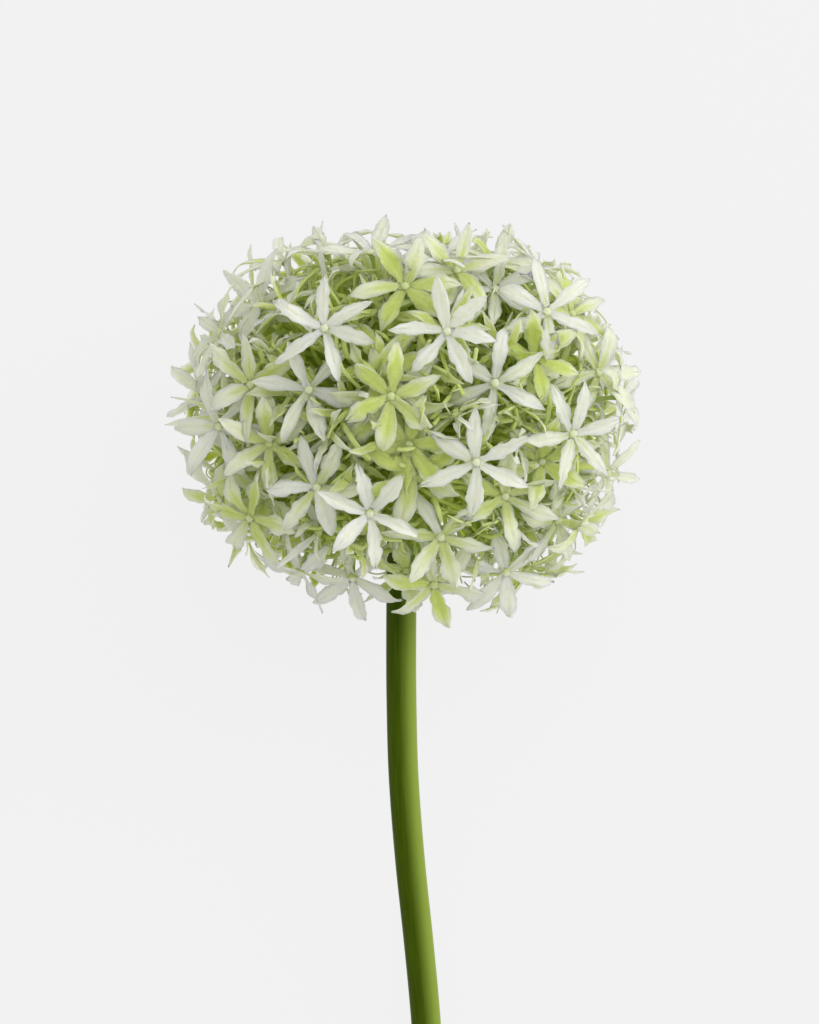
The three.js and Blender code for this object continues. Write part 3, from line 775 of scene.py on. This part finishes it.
young = [(*between, size, between_number)]
for layer in YOUNG_LAYERS:
    name, count, first_draw, depth, depths, lean, rise, rises, size, green, greens, slim = layer
    way, number = even_ways(count, first_draw)
    sunk = FRONT_SINK * np.maximum(way[:, 2], 0) * (depth < OUTER_DEPTH)
    middle = way * (globe_reach(way) - depth - depths * draw(number, first_draw + 2) - sunk)[:, None]
    clear = (way[:, 1] > YOUNG_CLEAR_HEIGHT) & (nearest_to(star_middle, middle) > YOUNG_CLEAR_REACH)
    clear = clear & (nearest_to(petal_lines, middle) > YOUNG_CLEAR_OF_PETALS)
    number, middle = number[clear], middle[clear]
    leaning = np.stack([spread(number, first_draw + 3 + k, lean) for k in range(3)], -1)
    facing = unit(outward(middle) + leaning)
    across = unit(np.cross(facing, np.array([0.31, 0.84, 0.45])))
    along = np.cross(facing, across)
    turn = spread(number, first_draw + 8, 30)
    sizes = size + spread(number, first_draw + 9, 0.1)
    slope = rise + spread(number, first_draw + 10, rises)
    green = green + spread(number, first_draw + 11, greens) - SIDE_PALENESS * (1 - facing[:, 2] ** 2)
    points, marks = petals_of(
        number + YOUNG_FIRST_NUMBER + first_draw, middle, facing, across, along, turn, sizes, slope, green,
        YOUNG_ROWS, YOUNG_SIDES, slim,
    )
    petals_apart = nearest_to(petal_lines, points.mean(2).reshape(-1, 3)).reshape(points.shape[:2]).min(1)
    clear = petals_apart > PETALS_APART
    add_to_head(name, points[clear], {key: values[clear] for key, values in marks.items()})
    young.append((middle, facing, across, along, np.full(len(number), size), number + first_draw))
young_middle, young_facing, young_across, young_along, young_size, young_number = (
    np.concatenate(part) for part in zip(*young)
)

# ---- The stalklets ----
# Each floret stands on a pedicel, a thin round stem that runs from the knob to the floret's foot and flares
# there into a shallow cup. The lower ones leave the knob sideways and arch down, clear of the stalk.
PEDICEL_RADIUS = 0.62
PEDICEL_SIDES = 6
PEDICEL_ROWS = np.array([0, 0.08, 0.17, 0.27, 0.38, 0.5, 0.62, 0.74, 0.85, 0.93, 0.965, 0.985, 1.0])
CUP_FROM = 0.93  # where the cup begins, as a share of the length
CUP_RADIUS = 1.25
YOUNG_CUP_RADIUS = 1.0
LEVEL_ROOTS = 0.2  # how much of its drop a low one has where it leaves the knob
KNEE_REACH = 0.62  # how far out its bend's knee lies, as a share of the floret's distance
KNOB_ROWS = 16
KNOB_SIDES = 32


def carried_rings(middle, radius, sides):
    """Round rings of given radii, set square to lines of points."""
    way = unit(np.gradient(middle, axis=1))
    helper = unit(np.cross(way, np.array([0.42, 0.31, 0.85])))
    other = np.cross(way, helper)
    angle = 2 * np.pi * np.arange(sides) / sides
    ring = helper[:, :, None] * np.cos(angle)[:, None] + other[:, :, None] * np.sin(angle)[:, None]
    return middle[:, :, None] + ring * radius[..., None, None]


def tube_marks(points, tone):
    """For each point of tubes: the way along, and its tube's tone."""
    shape = points.shape[:3]
    return {
        "along": np.broadcast_to(np.linspace(0, 1, shape[1])[None, :, None], shape),
        "tone": np.broadcast_to(tone[:, None, None], shape),
    }


# Stalklet tissue: juicy and smooth, a duller lime near the head's surface and paler towards the florets. Deep
# in the head it is painted a brighter lime: painted light that lifts the shade there.
stalklet_tissue, tree, shader = new_material("juicy_green_stalklet_tissue")
along, tone, depth = (
    add_node(tree, "Attribute", out="Fac", attribute_name=mark) for mark in ("along", "tone", "depth")
)
where = add_node(tree, "TexCoord", out="Object")
mottle = add_node(tree, "TexNoise", {"Vector": where, "Scale": 260.0, "Detail": 3.0})
far = add_node(tree, "MapRange", {"Value": along, "From Min": 0.15, "From Max": 0.95})
pale = add_node(tree, "Math", {0: far, 1: tone}, operation="MULTIPLY")
pale = add_node(tree, "Math", {0: pale, 1: 0.6}, operation="MULTIPLY")
# Painted light: the deeper a stalklet lies, the brighter its painted lime.
high = add_node(tree, "MapRange", {"Value": depth, "From Min": 0.95, "From Max": 0.35})
painted_light_lime = add_node(tree, "Mix", {0: mottle, 6: "#C6D84C", 7: "#DFEB8A"}, 2, data_type="RGBA")
dull_lime = add_node(tree, "Mix", {0: mottle, 6: "#ADBF5A", 7: "#C8D58E"}, 2, data_type="RGBA")
lime = add_node(tree, "Mix", {0: high, 6: painted_light_lime, 7: dull_lime}, 2, data_type="RGBA")
colour = add_node(tree, "Mix", {0: pale, 6: lime, 7: "#D8E0B0"}, 2, data_type="RGBA")
bump = add_node(tree, "Bump", {"Height": mottle, "Strength": 0.2, "Distance": 0.0001})
fill_inputs(
    shader,
    {
        "Base Color": colour, "Roughness": 0.5, "IOR": 1.14, "Normal": bump, "Subsurface Weight": 0.7,
        "Subsurface Radius": (0.9, 1.0, 0.35), "Subsurface Scale": 0.0012,
    },
)


def pedicel_points(middle, facing, cup_radius):
    """Quadratic curves from the knob, by a knee half way, to each floret's foot. The radius widens at the end
    into the cup, by a steep power of the way along."""
    way = unit(middle)
    root_way = way.copy()
    root_way[:, 1] = np.where(way[:, 1] < 0, way[:, 1] * LEVEL_ROOTS, way[:, 1])
    root_way = unit(root_way)
    knee = unit(way + root_way) * (np.linalg.norm(middle, axis=1) * KNEE_REACH)[:, None]
    start = root_way * KNOB_RADIUS * 0.6
    foot = middle + facing * 0.1
    t = PEDICEL_ROWS[None, :, None]
    line = start[:, None] * (1 - t) ** 2 + 2 * knee[:, None] * t * (1 - t) + foot[:, None] * t**2
    near = np.clip((PEDICEL_ROWS - CUP_FROM) / (1 - CUP_FROM), 0, 1)[None]
    radius = PEDICEL_RADIUS * (1.2 - 0.35 * PEDICEL_ROWS)[None]
    radius = radius + (cup_radius[:, None] - PEDICEL_RADIUS) * near**1.6
    return carried_rings(line, radius, PEDICEL_SIDES)


all_middle = np.concatenate([star_middle, young_middle])
all_facing = np.concatenate([star_facing, young_facing])
cup_radius = np.repeat([CUP_RADIUS, YOUNG_CUP_RADIUS], [len(star_middle), len(young_middle)])
points = pedicel_points(all_middle, all_facing, cup_radius)
add_to_head("pedicels", points, tube_marks(points, draw(np.arange(len(all_middle)), 401)), stalklet_tissue)

# The knob, the swollen end of the stalk's tip that all the pedicels grow from: a ball with low lobes and a
# flat foot.
rise_angle = np.linspace(math.pi / 2 - 0.03, math.asin(KNOB_FOOT / KNOB_RADIUS), KNOB_ROWS)[:, None]
turn = 2 * np.pi * np.arange(KNOB_SIDES) / KNOB_SIDES
knob_radius = KNOB_RADIUS * (1 - 0.04 * np.cos(7 * turn) * np.cos(3 * rise_angle))
level = np.cos(rise_angle) * knob_radius
tall = np.clip(np.sin(rise_angle) * knob_radius, KNOB_FOOT, KNOB_RADIUS)
points = np.stack([level * np.cos(turn), tall, -level * np.sin(turn)], -1)[None]
add_to_head("knob", points, tube_marks(points, np.zeros(1)), stalklet_tissue)

# ---- The seed pods ----
# In each floret's middle sits the young ovary: a low dome with six lobes, where the feet of the stamens were.
# Made as a profile turned round the floret's axis.
POD_SIDES = 18
YOUNG_POD_SIDES = 8
POD_PROFILE = np.array(
    [
        (0.72, -0.35), (0.86, 0.0), (0.92, 0.18), (0.88, 0.36), (0.76, 0.5), (0.6, 0.61), (0.42, 0.68),
        (0.24, 0.71), (0.08, 0.72),
    ]
)


def pod_points(middle, facing, across, along, size, turn, sides):
    """A profile of radius and height turned round each floret's axis; the radius swells to six low lobes,
    every second one a little larger, up to where the dome narrows."""
    angle = 2 * np.pi * np.arange(sides) / sides
    lobes = 0.1 * np.cos(6 * angle) + 0.05 * np.cos(3 * angle)
    radius = POD_PROFILE[:, :1] * (1 + lobes[None] * (POD_PROFILE[:, :1] > 0.5))
    shift = np.radians(turn)[:, None]
    tall = size[:, None, None, None]
    cos, sin = (wave(angle[None] + shift)[:, None, :, None] for wave in (np.cos, np.sin))
    ring = across[:, None, None] * cos + along[:, None, None] * sin
    rings = ring * radius[None, :, :, None] * tall
    return middle[:, None, None] + rings + facing[:, None, None] * POD_PROFILE[None, :, 1:, None] * tall


# Pod skin: grainy and dull, nearly white on a white floret and pale green on a green one.
pod_skin, tree, shader = new_material("grainy_pale_green_pod_skin")
tone = add_node(tree, "Attribute", out="Fac", attribute_name="tone")
where = add_node(tree, "TexCoord", out="Object")
# Grains of about half a millimetre.
grains = add_node(tree, "TexNoise", {"Vector": where, "Scale": 1500.0, "Detail": 2.0})
dome = add_node(tree, "Mix", {0: grains, 6: "#C9D0AE", 7: "#E4E7D4"}, 2, data_type="RGBA")
colour = add_node(tree, "Mix", {0: tone, 6: dome, 7: "#B7C57A"}, 2, data_type="RGBA")
bump = add_node(tree, "Bump", {"Height": grains, "Strength": 0.6, "Distance": 0.0003})
fill_inputs(
    shader,
    {
        "Base Color": colour, "Roughness": 0.55, "Normal": bump, "Subsurface Weight": 0.5,
        "Subsurface Radius": (1.0, 1.0, 0.6), "Subsurface Scale": 0.0008,
    },
)

points = pod_points(star_middle, star_facing, star_across, star_along, star_size, star_turn + 30, POD_SIDES)
tones = 0.15 * draw(star_number, 95) + 0.85 * star_green
add_to_head("seed_pods", points, tube_marks(points, tones), pod_skin)
unturned = np.zeros(len(young_size))
points = pod_points(
    young_middle, young_facing, young_across, young_along, young_size, unturned, YOUNG_POD_SIDES
)
add_to_head("young_seed_pods", points, tube_marks(points, 0.4 + 0.6 * draw(young_number, 95)), pod_skin)

# ---- The loose stalks and threads ----
# Between the florets the head is filled with curling green stalklets that carry no open flower, and with thin
# dry threads whose hooked ends show round its edge. Made as round tubes carried along curling lines.
LOOP_COUNT = 860
LOOP_RADIUS = 0.54
LOOP_CLEAR_HEIGHT = -0.8
THREAD_COUNT = 330
THREAD_RADIUS = 0.19
CURL_ROWS = 18
CURL_SIDES = 5
CURL_FROM = 0.4  # where a line's end starts to curl, as a share of its length


def curling_lines(way, number, start, end, wiggle, turns, first_draw, most):
    """Lines that run outwards along directions, from a start share of the globe's reach; the furthest they
    come is an end share of it. Their heading swings by a sine of `wiggle` radians, and over the last part
    turns on by about `turns` radians, so that they end in a curl; the plane of the curl rolls round slowly.
    No point lies further out than the share `most` of the globe's reach."""
    t = np.linspace(0, 1, CURL_ROWS)[None, :]
    leaning = np.stack([spread(number, first_draw + k, 1) for k in range(3)], -1)
    side = unit(np.cross(way, np.array([0.2, 0.75, 0.6]) + leaning))
    other = np.cross(way, side)
    bend = np.clip((t - CURL_FROM) / (1 - CURL_FROM), 0, 1)
    turned = (turns * (0.6 + 0.8 * draw(number, first_draw + 3)))[:, None] * bend * bend * (3 - 2 * bend)
    heading = wiggle[:, None] * np.sin(10 * t + 6.3 * draw(number, first_draw + 4)[:, None]) + turned
    roll = spread(number, first_draw + 5, 3)[:, None] * (t - 0.5)
    onward = np.cumsum(np.cos(heading), 1)
    step = (globe_reach(way) * (end - start) / np.maximum(onward.max(1), 3))[:, None, None]
    aside = side[:, None] * np.cos(roll)[..., None] + other[:, None] * np.sin(roll)[..., None]
    line = way[:, None] * onward[..., None] + np.cumsum(aside * np.sin(heading)[..., None], 1)
    points = way[:, None] * (globe_reach(way) * start)[:, None, None] + line * step
    far = np.linalg.norm(points, axis=-1, keepdims=True)
    limit = globe_reach(points / far)[..., None] * most
    return points * np.minimum(1, limit / far)


way, number = even_ways(LOOP_COUNT, 501)
way, number = way[way[:, 1] > LOOP_CLEAR_HEIGHT], number[way[:, 1] > LOOP_CLEAR_HEIGHT]
lines = curling_lines(
    way, number, start=0.5, end=0.76 + 0.17 * draw(number, 505), wiggle=0.7 + 0.9 * draw(number, 506),
    turns=5.0, first_draw=510, most=0.93,
)
taper = np.interp(np.linspace(0, 1, CURL_ROWS), (0, 0.7, 0.9, 1), (1.15, 0.95, 0.7, 0.25))
points = carried_rings(lines, LOOP_RADIUS * (0.75 + 0.5 * draw(number, 509))[:, None] * taper, CURL_SIDES)
add_to_head("curling_stalklets", points, tube_marks(points, 0.25 + 0.75 * draw(number, 508)), stalklet_tissue)

# Thread tissue: the dry stems of spent buds, pale straw to grey green, dull, with fine wrinkles.
thread_tissue, tree, shader = new_material("dry_straw_thread_tissue")
along, tone = (add_node(tree, "Attribute", out="Fac", attribute_name=mark) for mark in ("along", "tone"))
where = add_node(tree, "TexCoord", out="Object")
mottle = add_node(tree, "TexNoise", {"Vector": where, "Scale": 500.0, "Detail": 3.0})
straw = add_node(tree, "Mix", {0: mottle, 6: "#CBCFAE", 7: "#E9EADC"}, 2, data_type="RGBA")
straw = add_node(tree, "Mix", {0: tone, 6: straw, 7: "#C3CF95"}, 2, data_type="RGBA")
tip = add_node(tree, "MapRange", {"Value": along, "From Min": 0.8, "From Max": 1.0, "To Max": 0.6})
colour = add_node(tree, "Mix", {0: tip, 6: straw, 7: "#A9A994"}, 2, data_type="RGBA")
bump = add_node(tree, "Bump", {"Height": mottle, "Strength": 0.2, "Distance": 0.00005})
fill_inputs(shader, {"Base Color": colour, "Roughness": 0.6, "Normal": bump})

way, number = even_ways(THREAD_COUNT, 601)
# The ones at the front end lower, under the petals there.
lines = curling_lines(
    way, number, start=0.72, end=0.9 + 0.13 * draw(number, 605) - 0.12 * np.maximum(way[:, 2], 0),
    wiggle=0.3 + 0.5 * draw(number, 606), turns=3.0, first_draw=610, most=1.05,
)
thread_radius = THREAD_RADIUS * np.linspace(1.2, 0.9, CURL_ROWS)[None].repeat(len(way), 0)
points = carried_rings(lines, thread_radius, CURL_SIDES)
add_to_head("threads", points, tube_marks(points, draw(number, 608)), thread_tissue)
